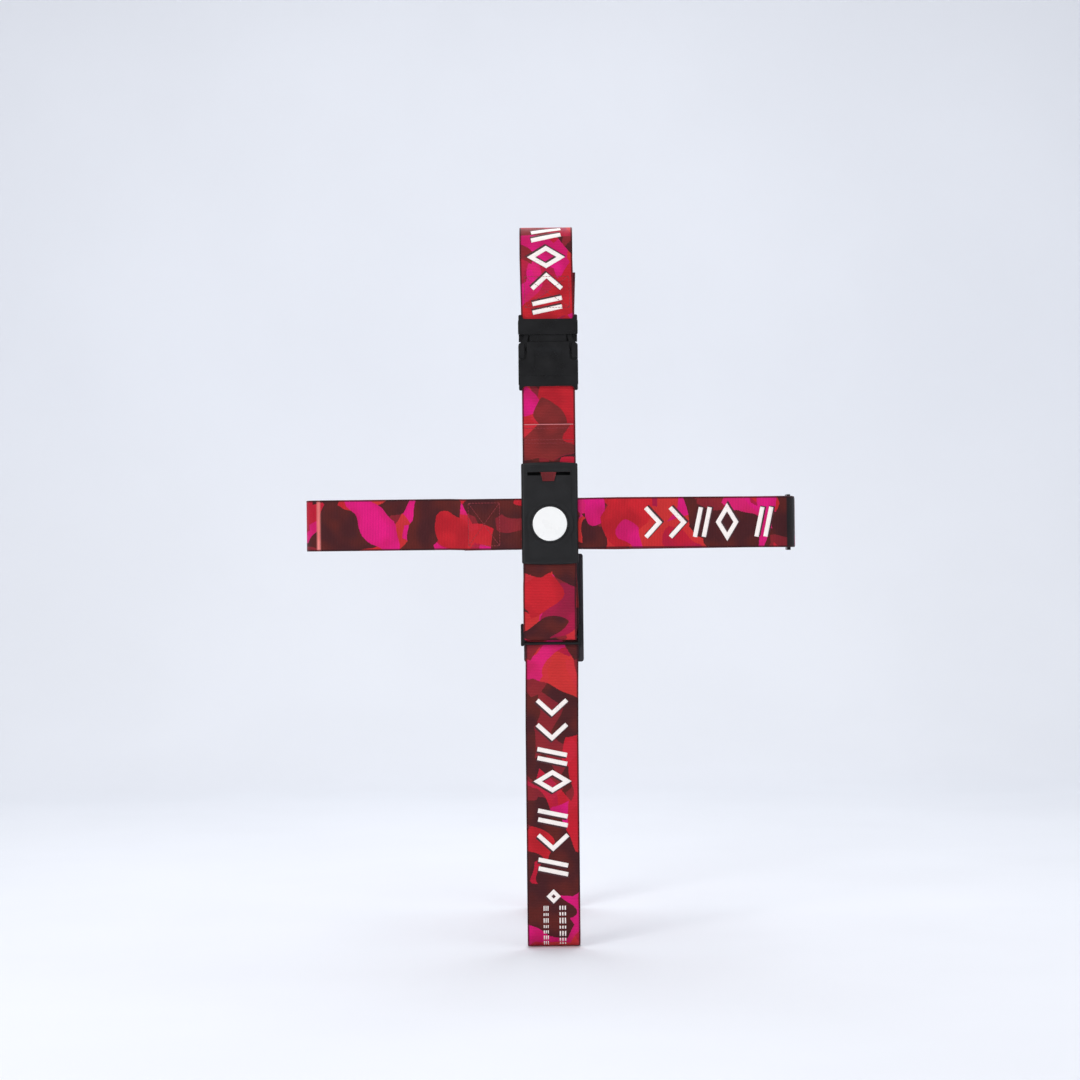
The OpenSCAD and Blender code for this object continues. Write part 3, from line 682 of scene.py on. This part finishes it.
def make_webbing(name, half, seed, dark, pink, placed, bands=()):
    """Printed polyester webbing: a plain weave with painted shade between its yarns, darker selvedges, and
    a slightly faded print.
    """
    sh = Shader(name)
    uv = sh.add("UVMap", uv_map="webbing").outputs[0]
    across = sh.math("ABSOLUTE", sh.add("SeparateXYZ", {0: uv}).outputs[0])
    weave = weave_height(sh, uv, YARN_W, YARN_L)
    fibre = sh.noise(sh.mapped(uv, (0.22 * MM, 2.4 * MM, 1)), 1.0, 2.0)
    cloud = sh.noise(uv, 45.0, 3.0)
    selvedge = sh.span(across, (half - 2.0) * MM, (half - 1.4) * MM)
    fuzz = sh.span(across, (half - 0.4) * MM, half * MM)
    colour = print_and_bend_light_colours(sh, uv, seed, dark, pink, placed, bands)
    # Painted shade: darker between the yarns, in the weave's hollows
    colour = sh.shade(colour, sh.span(weave, 0.0, 0.55, 0.66, 1.04))
    colour = sh.shade(colour, sh.span(fibre, 0.25, 0.75, 0.9, 1.08))
    colour = sh.shade(colour, sh.span(cloud, 0.3, 0.7, 0.93, 1.05))
    colour = sh.mix(sh.math("MULTIPLY", selvedge, 0.8), colour, screen(44, 12, 18))
    colour = sh.mix(sh.math("MULTIPLY", fuzz, 0.15), colour, screen(150, 70, 80))
    height = sh.math("ADD", weave, sh.math("MULTIPLY", fibre, 0.25))
    return sh.surface(
        Base_Color=colour, Roughness=sh.span(weave, 0.0, 1.0, 0.66, 0.42),
        Specular_IOR_Level=0.17, Sheen_Weight=0.02, Sheen_Roughness=0.4,
        Normal=sh.bump(height, 0.16),
    )


def make_ink(name, colour, worn, wear):
    """Print on top of the weave, cracked a little where the belt flexes."""
    sh = Shader(name)
    uv = sh.add("UVMap", uv_map="webbing").outputs[0]
    weave = weave_height(sh, uv, YARN_W, YARN_L)
    inputs = {"Vector": uv, "Scale": 330.0}
    cell = sh.add("TexVoronoi", inputs, voronoi_dimensions="2D", feature="DISTANCE_TO_EDGE").outputs[0]
    crack = sh.math("LESS_THAN", cell, 0.018)
    where = sh.span(sh.noise(uv, 60.0, 3.0), 0.56, 0.66)
    gaps = sh.math("MULTIPLY", sh.math("MULTIPLY", crack, where), wear)
    # Painted shade: darker between the yarns, in the weave's hollows
    shade = sh.shade(colour, sh.span(weave, 0.0, 0.5, 0.88, 1.0))
    shade = sh.shade(shade, sh.span(sh.noise(uv, 90.0, 3.0), 0.3, 0.7, 0.95, 1.02))
    return sh.surface(
        Base_Color=sh.mix(gaps, shade, worn), Roughness=0.5, Specular_IOR_Level=0.45,
        Normal=sh.bump(weave, 0.07),
    )


def make_thread(name, colour):
    """Twisted sewing thread."""
    sh = Shader(name)
    at = sh.add("TexCoord").outputs["Object"]
    twist = sh.noise(sh.mapped(at, (0.16 * MM, 0.16 * MM, 0.16 * MM), 0.7), 1.0, 2.0)
    base = sh.shade(colour, sh.span(twist, 0.3, 0.7, 0.7, 1.12))
    return sh.surface(Base_Color=base, Roughness=0.6, Sheen_Weight=0.2, Normal=sh.bump(twist, 0.08))


def make_plastic(name, colour, rough, grain_mm, depth_mm, gloss=0.5, mottle=0.14):
    """Moulded plastic: spark-eroded grain, uneven sheen and fine scratches."""
    sh = Shader(name)
    at = sh.add("TexCoord").outputs["Object"]
    grain = sh.noise(at, 1 / (grain_mm * MM), 3.0, 0.6)
    cloud = sh.noise(at, 70.0, 4.0)
    scratch = sh.noise(sh.mapped(at, (9 * MM, 9 * MM, 0.25 * MM), 0.4), 1.0, 2.0)
    marks = sh.span(scratch, 0.62, 0.72)
    base = sh.shade(colour, sh.span(cloud, 0.3, 0.7, 1 - mottle, 1 + mottle))
    uneven = sh.span(cloud, 0.3, 0.7, rough - 0.05, rough + 0.07)
    uneven = sh.math("ADD", uneven, sh.math("MULTIPLY", marks, 0.06))
    height = sh.math("SUBTRACT", grain, sh.math("MULTIPLY", marks, 0.15))
    return sh.surface(
        Base_Color=base, Roughness=uneven, Specular_IOR_Level=gloss,
        Normal=sh.bump(height, depth_mm),
    )


def make_metal(name, colour, rough, brush):
    """Plated steel with fine brushed lines; brush is the size of a line in x, y and z."""
    sh = Shader(name)
    at = sh.add("TexCoord").outputs["Object"]
    lines = sh.noise(sh.mapped(at, [b * MM for b in brush]), 1.0, 2.0)
    cloud = sh.noise(at, 120.0, 3.0)
    base = sh.shade(colour, sh.span(cloud, 0.3, 0.7, 0.85, 1.05))
    uneven = sh.span(lines, 0.3, 0.7, rough - 0.06, rough + 0.08)
    return sh.surface(Base_Color=base, Metallic=1.0, Roughness=uneven, Normal=sh.bump(lines, 0.01))


def make_pad_cloth(name):
    """Black woven pad fabric."""
    sh = Shader(name)
    at = sh.add("TexCoord").outputs["Object"]
    turned = sh.add("Mapping", {0: at, 2: (math.pi / 2, 0, 0)}).outputs[0]
    weave = weave_height(sh, turned, 0.9, 0.9)
    # Painted shade: darker between the yarns, in the weave's hollows
    base = sh.shade(screen(40, 34, 40), sh.span(weave, 0.0, 0.6, 0.55, 1.1))
    return sh.surface(Base_Color=base, Roughness=0.8, Sheen_Weight=0.2, Normal=sh.bump(weave, 0.15))


def make_backdrop_paint(name):
    """Matt, pale paint."""
    sh = Shader(name)
    at = sh.add("TexCoord").outputs["Object"]
    tone = sh.span(sh.noise(at, 2.5, 3.0), 0.3, 0.7, 0.985, 1.01)
    return sh.surface(Base_Color=sh.shade(screen(236, 239, 245), tone), Roughness=0.9)


materials = {
    "housing": make_plastic("housing_black", screen(17, 17, 19), 0.44, 0.32, 0.035, 0.3),
    "button": make_plastic("button_black", screen(21, 21, 23), 0.4, 0.25, 0.02, 0.32),
    "buckle": make_plastic("buckle_black", screen(11, 11, 13), 0.31, 0.5, 0.014, 0.29),
    "badge": make_plastic("badge_white", screen(240, 240, 238), 0.3, 0.6, 0.006, mottle=0.006),
    "slide": make_plastic("slide_red", screen(98, 13, 20), 0.34, 0.4, 0.012, 0.35),
    "retainer": make_plastic("retainer_natural", screen(214, 206, 186), 0.45, 0.4, 0.012),
    "pin": make_metal("pin_steel", (0.62, 0.62, 0.64, 1), 0.26, (6, 0.12, 0.12)),
    "pin_upright": make_metal("upright_pin_steel", (0.62, 0.62, 0.64, 1), 0.26, (0.12, 0.12, 6)),
    "spring": make_metal("spring_wire", (0.55, 0.56, 0.58, 1), 0.22, (0.2, 0.2, 0.2)),
    "leaf": make_metal("leaf_blued_steel", (0.36, 0.4, 0.48, 1), 0.3, (5, 1, 0.15)),
    "screw": make_metal("screw_steel", (0.5, 0.5, 0.52, 1), 0.3, (0.3, 1, 0.3)),
    "upright": make_webbing("webbing_upright", VERTICAL_HALF, 3, 0.4, 0.3, upright_patches()),
    "side": make_webbing("webbing_side", SIDE_HALF, 8, 0.5, 0.34, side_patches(), side_bands()),
    "link": make_webbing("webbing_link", VERTICAL_HALF, 5, 0.3, 0.1, link_patches()),
    "white": make_ink("print_white", screen(252, 243, 238), screen(150, 60, 70), 0.8),
    "shadow": make_ink("print_shadow", screen(66, 18, 28), screen(90, 30, 36), 0.3),
    "red_thread": make_thread("thread_red", screen(150, 24, 40)),
    # Pale melted fibres at the link's cut end, with a painted highlight along it
    "melted_edge_highlight": make_thread("melted_edge_highlight", screen(206, 116, 120)),
    "pad": make_pad_cloth("pad_cloth"),
    "backdrop": make_backdrop_paint("backdrop_paint"),
}

# Material of each CAD node that stays in view, and the width that its edges are rounded over
NODE_FINISH = {
    "housing_front": ("housing", 0.35), "housing_back": ("housing", 0.3),
    "housing_screws": ("screw", 0.12), "latch_rivets": ("screw", 0.15),
    "top_pin": ("pin", 0.3), "bottom_pin": ("pin", 0.3), "right_pin": ("pin_upright", 0.3),
    "release_button": ("button", 0.4), "button_badge": ("badge", 0.15),
    "belt_tongue": ("button", 0.25), "safety_slide": ("slide", 0.12),
    "slide_retainer": ("retainer", 0.12), "buckle_socket": ("buckle", 0.45),
    "buckle_plug": ("buckle", 0.45), "plug_arm_left": ("buckle", 0.35),
    "plug_arm_right": ("buckle", 0.35), "vertical_slider": ("buckle", 0.35),
    "horizontal_slider": ("buckle", 0.35),
}


def finish_node(node, material, edge_mm):
    """Gives a CAD node its material, and small rounded edges as modifiers on top of its mesh."""
    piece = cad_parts[node]
    if "custom_normal" in piece.data.attributes:
        piece.data.attributes.remove(piece.data.attributes["custom_normal"])
    piece.data.materials.clear()
    piece.data.materials.append(material)
    piece.data.polygons.foreach_set("use_smooth", [True] * len(piece.data.polygons))
    piece.data.polygons.foreach_set("material_index", [0] * len(piece.data.polygons))
    weld = piece.modifiers.new("weld", "WELD")
    weld.merge_threshold = 0.004 * MM
    flat = piece.modifiers.new("flat", "DECIMATE")
    flat.decimate_type = "DISSOLVE"
    flat.angle_limit = math.radians(0.5)
    bevel = piece.modifiers.new("edges", "BEVEL")
    bevel.width = edge_mm * MM
    bevel.segments = 3
    bevel.limit_method = "ANGLE"
    bevel.angle_limit = math.radians(32)
    bevel.use_clamp_overlap = True
    shading = piece.modifiers.new("shading", "WEIGHTED_NORMAL")
    shading.keep_sharp = False
    shading.weight = 90


for node, (material, edge_mm) in NODE_FINISH.items():
    finish_node(node, materials[material], edge_mm)


# ---------- Metal parts that flex ----------

LEAF_FREE_X = 3.5  # the leaf moves with the button up to here
LEAF_ROOT_X = 11.5  # and is held by its rivets from here


def springy_copy(node, name, material, cuts=()):
    """A copy of a CAD node with a mesh of its own, with extra edges where x is one of the cuts."""
    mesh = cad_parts[node].data.copy()
    shape = bmesh.new()
    shape.from_mesh(mesh)
    bmesh.ops.remove_doubles(shape, verts=shape.verts, dist=0.004 * MM)
    for x in cuts:
        parts = shape.verts[:] + shape.edges[:] + shape.faces[:]
        bmesh.ops.bisect_plane(shape, geom=parts, plane_co=(x * MM, 0, 0), plane_no=(1, 0, 0))
    shape.to_mesh(mesh)
    shape.free()
    if "custom_normal" in mesh.attributes:
        mesh.attributes.remove(mesh.attributes["custom_normal"])
    mesh.materials.clear()
    mesh.materials.append(material)
    piece = bpy.data.objects.new(name, mesh)
    bpy.context.scene.collection.objects.link(piece)
    return piece


def add_springs():
    piece = springy_copy("button_springs", "button_spring_coils", materials["spring"])
    piece.data.polygons.foreach_set("use_smooth", [True] * len(piece.data.polygons))
    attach(piece, "strap")
    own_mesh(piece)
    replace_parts(piece, "button_springs")


def add_leaf():
    cuts = np.linspace(LEAF_FREE_X, LEAF_ROOT_X, 9)
    piece = springy_copy("latch_leaf", "latch_leaf_spring", materials["leaf"], cuts)
    piece.data.polygons.foreach_set("use_smooth", [False] * len(piece.data.polygons))
    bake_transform(piece)
    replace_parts(piece, "latch_leaf")


add_springs()
add_leaf()


# ---------- Webbing pieces ----------

UNDER_SLIDER = slider_low[2] - 8  # below this the belt isn't in the slider
OVER_SLIDER = slider_high[2] + 4.5
SIDE_NEAR = side_slider_low[1] - 4.5
SIDE_FAR = side_slider_high[1] + 4.5
CORNER_Z = case_low + EDGE_R + 3


def point(x=0.0, y=0.0, z=0.0):
    return (x * MM, y * MM, z * MM)


# How each run that crosses a joint bends: body at the start, body at the end, from, to
TOP_RUN = ("plug", "strap", point(y=EDGE_R), point(y=case_back - EDGE_R))
LOWER_RUN = ("strap", "lower_slider", point(z=CORNER_Z), point(z=UNDER_SLIDER - 34))
DOUBLED_RUN = ("lower_slider", "strap", point(z=OVER_SLIDER + 2), point(z=housing_low[2] - 1))
LEFT_RUN = ("tongue", "strap", point(y=EDGE_R), point(y=case_back - EDGE_R))
FAR_SIDE_RUN = ("strap", "side_slider", point(y=case_back), point(y=SIDE_FAR))
NEAR_SIDE_RUN = ("side_slider", "strap", point(y=SIDE_NEAR), point(y=EDGE_R))


def follow(piece, motion):
    """Makes a piece ride on a body; a run between two bodies is only fixed where it is, in world space."""
    if isinstance(motion, str):
        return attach(piece, motion)
    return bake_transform(piece)


def cut_belt(node, belt, material, cuts, lengths):
    """Replaces a node by a belt in pieces; lengths are (name, motion) from one cut to the next."""
    for i, (name, motion) in enumerate(lengths):
        ends = (i == 0, i == len(lengths) - 1)
        piece = ribbon(name, belt, cuts[i], cuts[i + 1], material, ends)
        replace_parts(follow(piece, motion), node)


upright_cuts = [
    0, upright_belt.where(1, -60, 5, 6), upright_belt.where(1, CORNER_Z, 7, 8),
    upright_belt.where(1, UNDER_SLIDER, 8, 9), upright_belt.where(1, OVER_SLIDER, 10, 11),
    upright_belt.where(1, OVER_SLIDER, 11, 12), upright_belt.length,
]
cut_belt("vertical_belt", upright_belt, materials["upright"], upright_cuts, [
    ("webbing_upper_run", TOP_RUN), ("webbing_back_and_bottom", "strap"),
    ("webbing_lower_run", LOWER_RUN), ("webbing_through_lower_slider", "lower_slider"),
    ("webbing_doubled_run", DOUBLED_RUN), ("webbing_lower_slider_tail", "lower_slider"),
])

side_cuts = [
    0, side_belt.where(0, 0, 6, 7), side_belt.where(1, SIDE_FAR, 9, 10),
    side_belt.where(1, SIDE_NEAR, 11, 12), side_belt.where(1, SIDE_NEAR, 18, 19), side_belt.length,
]
cut_belt("horizontal_belt", side_belt, materials["side"], side_cuts, [
    ("webbing_left_run", LEFT_RUN), ("webbing_back_right_run", FAR_SIDE_RUN),
    ("webbing_through_side_slider", "side_slider"), ("webbing_right_run", NEAR_SIDE_RUN),
    ("webbing_side_slider_tail", "side_slider"),
])

link_piece = ribbon("webbing_link", link, 0, link.length, materials["link"], (True, True))
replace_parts(follow(link_piece, "strap"), "link_belt")


# ---------- Print ----------

MARK_PITCH = 23.5
SMALL_PITCH = 12  # the same after a dot or a gap
MARK_TOP = 14.2  # half of a mark's height
DASH_ROWS = [(8.5, 1.3), (-7.5, 1.0)]  # place across the belt, and width of a line
DASH_GAP = 2.2
DASH_SIZES = (2.5, 7)  # shortest and longest

# Strokes of the plain geometric marks, as (corners, closed); a corner is (along, across)
MARKS = {
    "chevron": [([(3, -MARK_TOP), (16, 0), (3, MARK_TOP)], False)],
    "bars": [([(3 + k, -MARK_TOP), (9 + k, MARK_TOP)], False) for k in (0, 8.5)],
    "diamond": [([(2, 0), (10.5, MARK_TOP), (19, 0), (10.5, -MARK_TOP)], True)],
    "dot": [([(3, -4.5), (7.5, 0), (3, 4.5), (-1.5, 0)], True)],
    "gap": [],
}


def print_marks(white, shadow, marks, s, way):
    """Draws marks and their shadows from s on, and returns where the row ends."""
    for kind in marks:
        width = PRINT_W * 0.8 if kind == "dot" else PRINT_W
        for corners, closed in MARKS[kind]:
            spots = np.array([(s + way * along, across) for along, across in corners])
            white.stroke(spots, width, closed)
            moved = spots + (0.9 * way, -0.8 * white.face)
            shadow.stroke(moved, width + 1.5, closed, PRINT_LIFT / 2)
        s += way * (SMALL_PITCH if kind in ("gap", "dot") else MARK_PITCH)
    return s


def print_dashes(white, s, way, length):
    """Draws two rows of plain dashes, three lines each."""
    chance = random.Random(7)
    for row, width in DASH_ROWS:
        along = 0
        while along < length:
            dash = chance.uniform(*DASH_SIZES)
            for line in (-1.9, 0, 1.9):
                start = (s + way * along, row + line * width)
                end = (s + way * (along + dash), row + line * width)
                white.stroke([start, end], width)
            along += dash + DASH_GAP


def print_row(belt, name, marks, s, way, motion, face=1, dashes=0):
    """Prints a row of marks from s on, towards larger or smaller s, and then a length of dashes."""
    white, shadow = Sheet(belt, face), Sheet(belt, face)
    end = print_marks(white, shadow, marks, s, way)
    print_dashes(white, end, way, dashes)
    follow(white.piece(name, materials["white"]), motion)
    follow(shadow.piece(name + "_shadow", materials["shadow"]), motion)


BACK_ROW = ["chevron", "chevron", "bars", "diamond", "gap", "bars", "chevron", "bars"]

upper_s = upright_belt.where(1, 199, 1, 2)
print_row(upright_belt, "print_upper", ["bars", "chevron", "diamond", "bars"], upper_s, 1, TOP_RUN)
lower_s = upright_belt.where(1, -166, 8, 9)
print_row(upright_belt, "print_lower", BACK_ROW + ["gap", "dot"], lower_s, -1, LOWER_RUN, dashes=42)
right_s = side_belt.where(0, 89, 16, 17)
print_row(side_belt, "print_right", BACK_ROW[:6], right_s, 1, "strap", face=-1)
for name, height in (("print_back_high", 215), ("print_back_low", -120)):
    print_row(upright_belt, name, BACK_ROW, upright_belt.where(1, height, 5, 6), 1, "strap")


# ---------- Stitching ----------

def sew(belt, name, layers, motion):
    """Seams on the front and the rear layer of a lap; a layer is a list of rows of corners (s, across)."""
    for layer, rows in zip(("front", "rear"), layers):
        sheet = Sheet(belt)
        for corners in rows:
            sheet.seam(corners)
        follow(sheet.piece(name + "_" + layer, materials["red_thread"]), motion)


def box_seam(start, end, half):
    """A box with a cross in it."""
    corners = [(start, -half), (end, -half), (end, half), (start, half)]
    return [corners + corners[:1], [corners[0], corners[2]], [corners[1], corners[3]]]


def fold_seams(belt, axis, low, high, half):
    """The same box on the fold's inner layer and on the main run over it."""
    outer = sorted(belt.where(axis, v, 1, 2) for v in (low, high))
    inner = sorted(belt.where(axis, v, 0, 1) for v in (low, high))
    return [box_seam(*outer, half), box_seam(*inner, half)]


plug_fold = fold_seams(upright_belt, 1, FOLD_Z - 34, FOLD_Z - 4, VERTICAL_HALF - 4)
tongue_fold = fold_seams(side_belt, 0, 4 - FOLD_X, 34 - FOLD_X, SIDE_HALF - 4)
sew(upright_belt, "stitching_plug_fold", plug_fold, "plug")
sew(side_belt, "stitching_tongue_fold", tongue_fold, "tongue")


def lap_rows(start, end, heights):
    """Rows of stitches right across the link, at the given heights between two of its corners."""
    half = VERTICAL_HALF - 2
    places = [link.where(1, z, start, end) for z in heights]
    return [[(s, -half), (s, half)] for s in places]


LAP_SEAMS = (LAP[1] - 4.6, LAP[0] + 5.4, LAP[0] + 2.2)
sew(link, "stitching_link", [lap_rows(4, 5, LAP_SEAMS), lap_rows(0, 1, LAP_SEAMS)], "strap")
# A pale line along the link's cut end: pale melted fibres, and a painted highlight where the end catches
# the light
lap_edge_highlight = Sheet(link)
lap_edge_highlight.stroke(lap_rows(4, 5, [LAP[1] - 0.9])[0], 0.9, lift=0.14)
follow(lap_edge_highlight.piece("webbing_link_edge_highlight", materials["melted_edge_highlight"]), "strap")


# ---------- Backing pad ----------

PAD_CORNER = 2.5
# From the pad's back over its bound edge to its crowned middle, as (inset from its outline, y)
PAD_LEVELS = [
    (0, -0.05), (0, -0.75), (0.35, -1), (3.2, -1), (3.5, -0.72), (4.2, -0.66), (9, -0.78), (18, -0.88),
]


def rounded_outline(half_x, half_z, corner):
    """Points round a rectangle with rounded corners, as (x, z) off its middle."""
    outline = []
    for quarter, (side_x, side_z) in enumerate(((1, 1), (-1, 1), (-1, -1), (1, -1))):
        for k in range(7):
            angle = math.pi / 2 * (quarter + k / 6)
            x = (half_x - corner) * side_x + corner * math.cos(angle)
            z = (half_z - corner) * side_z + corner * math.sin(angle)
            outline.append((x, z))
    return outline


def make_pad():
    """A thin crowned pad with a bound edge."""
    low, high = box_mm("backing_pad")
    middle, half = (low + high) / 2, (high - low) / 2
    outline = rounded_outline(half[0], half[2], PAD_CORNER)
    points = []
    for inset, y in PAD_LEVELS:
        share_x, share_z = 1 - inset / half[0], 1 - inset / half[2]
        points += [(middle[0] + x * share_x, y, middle[2] + z * share_z) for x, z in outline]
    faces = tube_faces(len(PAD_LEVELS), len(outline))
    piece = mesh_piece("backing_pad_cloth", points, faces, materials["pad"])
    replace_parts(follow(piece, "strap"), "backing_pad")


make_pad()


# ---------- Stage, light and camera ----------

VIEW_DISTANCE = 2.6
FRAME_WIDTH = 1.0368  # metres across the picture at the coupler
AIM = Vector((-0.0096, 0, -0.0154))
ROLL = math.radians(0.6)


def make_backdrop():
    """Floor that curves up into a wall, so that no horizon shows."""
    floor = case_low - BELT_T
    radius, wall_y, top, half = 700, 2300, 4500, 4500
    line = [(-5000, floor)]
    for k in range(17):
        angle = math.pi / 2 * k / 16
        line.append((wall_y - radius + radius * math.sin(angle), floor + radius * (1 - math.cos(angle))))
    line.append((wall_y, top))
    points = [(x, y, z) for y, z in line for x in (-half, half)]
    faces = [(2 * i, 2 * i + 1, 2 * i + 3, 2 * i + 2) for i in range(len(line) - 1)]
    mesh_piece("backdrop", points, faces, materials["backdrop"])


def add_light(name, place, size, watts, colour):
    """A round area light that faces the strap."""
    light = bpy.data.lights.new(name, "AREA")
    light.shape = "DISK"
    light.size = size
    light.energy = watts
    light.color = colour
    lamp = bpy.data.objects.new(name, light)
    lamp.location = place
    lamp.rotation_euler = (AIM - Vector(place)).to_track_quat("-Z", "Y").to_euler()
    bpy.context.scene.collection.objects.link(lamp)


def add_camera():
    """A long lens straight in front of the coupler."""
    data = bpy.data.cameras.new("camera")
    data.sensor_width = 36
    data.lens = data.sensor_width * VIEW_DISTANCE / FRAME_WIDTH
    data.clip_end = 50
    camera = bpy.data.objects.new("camera", data)
    camera.location = AIM + Vector((0, -VIEW_DISTANCE, 0))
    camera.rotation_euler = (math.pi / 2, ROLL, 0)
    bpy.context.scene.collection.objects.link(camera)
    bpy.context.scene.camera = camera


def set_world():
    """Even, slightly cool light from all sides."""
    world = bpy.data.worlds.new("studio")
    world.use_nodes = True
    world.node_tree.nodes["Background"].inputs[0].default_value = (0.95, 0.96, 1, 1)
    world.node_tree.nodes["Background"].inputs[1].default_value = 0.51
    bpy.context.scene.world = world
    bpy.context.scene.view_settings.view_transform = "Standard"


# name, place, diameter, watts, colour
LIGHTS = [
    ("key", (-1.5, -2.3, 1.3), 1.3, 27, (1, 0.98, 0.96)),
    ("fill", (1.8, -2.2, 0.5), 1.8, 12, (0.95, 0.97, 1)),
    ("strip", (-1.75, -2.15, 0), 0.35, 8, (1, 1, 1)),
    ("top", (0, 0.2, 2.4), 1.6, 15, (1, 1, 1)),
    ("wall", (0, 0.9, 1.8), 1.6, 17, (1, 1, 1)),
]

make_backdrop()
for light in LIGHTS:
    add_light(*light)
add_camera()
set_world()
